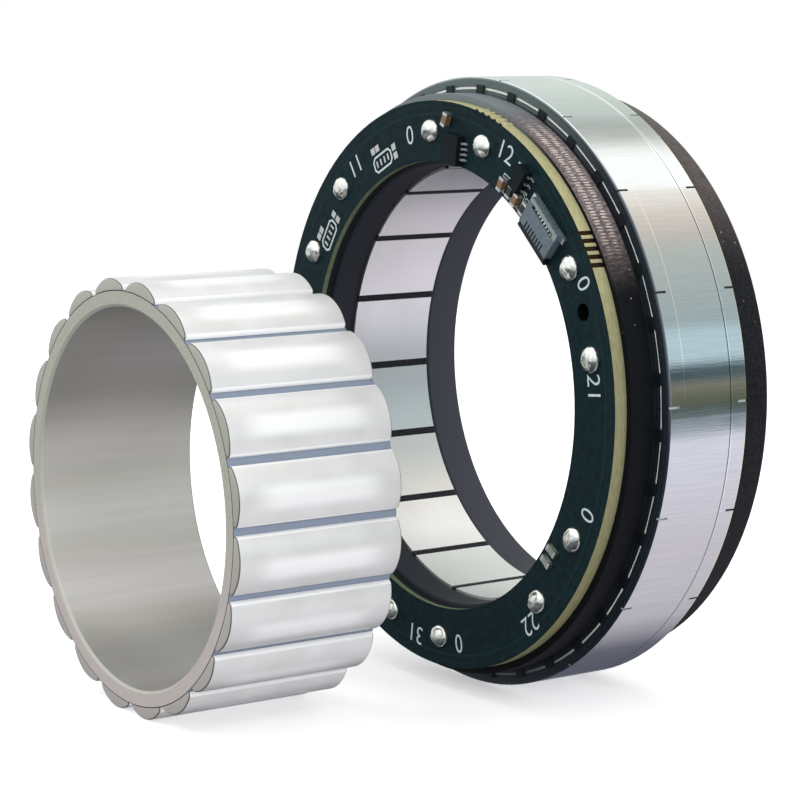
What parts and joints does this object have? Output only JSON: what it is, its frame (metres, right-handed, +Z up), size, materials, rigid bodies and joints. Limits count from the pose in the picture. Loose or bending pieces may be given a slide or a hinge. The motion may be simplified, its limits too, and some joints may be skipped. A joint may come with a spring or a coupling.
{
  "type": "frameless motor",
  "caption": "Frameless brushless servo motor kit: wound stator ring with a sensor board on its end, and a loose magnet rotor ring, both with open bores.",
  "frame": {"origin": "centre of the stator's steel stack, on the stator's axis, halfway along the stack", "axes": "+Y along the stator's axis from the sensor board to the rear, +Z up; both rings stand on their rims"},
  "size_m": [0.07, 0.0559, 0.07],
  "materials": {
    "stack_steel": "ground",
    "rotor_steel": "turned, satin",
    "magnet_plating": "nickel plated",
    "enamelled_wire": "enamelled copper",
    "insulator_plastic": "moulded",
    "wedge_plastic": "moulded",
    "potting_resin": "cast resin",
    "board_laminate": "solder mask over glass laminate",
    "solder": "soldered",
    "tinned_metal": "tinned",
    "chip_resin": "moulded",
    "capacitor_ceramic": "fired",
    "resistor_ceramic": "glazed",
    "connector_plastic": "moulded",
    "lever_plastic": "moulded"
  },
  "bodies": {
    "stator": {"chip_capacitors": "capacitor_ceramic", "chip_end_caps": "tinned_metal", "chip_resistors": "resistor_ceramic", "coil_01": "enamelled_wire", "coil_02": "enamelled_wire", "coil_03": "enamelled_wire", "coil_04": "enamelled_wire", "coil_05": "enamelled_wire", "coil_06": "enamelled_wire", "coil_07": "enamelled_wire", "coil_08": "enamelled_wire", "coil_09": "enamelled_wire", "coil_10": "enamelled_wire", "coil_11": "enamelled_wire", "coil_12": "enamelled_wire", "coil_13": "enamelled_wire", "coil_14": "enamelled_wire", "coil_15": "enamelled_wire", "coil_16": "enamelled_wire", "coil_17": "enamelled_wire", "coil_18": "enamelled_wire", "coil_leads": "enamelled_wire", "connector_contacts": "tinned_metal", "connector_hold_downs": "tinned_metal", "connector_housing": "connector_plastic", "connector_lever": "lever_plastic", "front_insulator": "insulator_plastic", "front_potting": "potting_resin", "logic_chip": "chip_resin", "logic_chip_pins": "tinned_metal", "rear_insulator": "insulator_plastic", "rear_potting": "potting_resin", "sensor_board": "board_laminate", "sensor_chip": "chip_resin", "sensor_chip_pins": "tinned_metal", "slot_wedges": "wedge_plastic", "solder_joints": "solder", "stator_core": "stack_steel", "thermistors": "resistor_ceramic"},
    "rotor": {"rotor_ring": "rotor_steel", "magnet_01": "magnet_plating", "magnet_02": "magnet_plating", "magnet_03": "magnet_plating", "magnet_04": "magnet_plating", "magnet_05": "magnet_plating", "magnet_06": "magnet_plating", "magnet_07": "magnet_plating", "magnet_08": "magnet_plating", "magnet_09": "magnet_plating", "magnet_10": "magnet_plating", "magnet_11": "magnet_plating", "magnet_12": "magnet_plating", "magnet_13": "magnet_plating", "magnet_14": "magnet_plating", "magnet_15": "magnet_plating", "magnet_16": "magnet_plating", "magnet_17": "magnet_plating", "magnet_18": "magnet_plating", "magnet_19": "magnet_plating", "magnet_20": "magnet_plating"}
  },
  "joints": [
    {"name": "rotor_spin", "type": "hinge", "parent": "stator", "child": "rotor", "pos_m": [-0.0089, -0.0357, -0.01084], "axis": [0, 1, 0], "continuous": true}
  ]
}
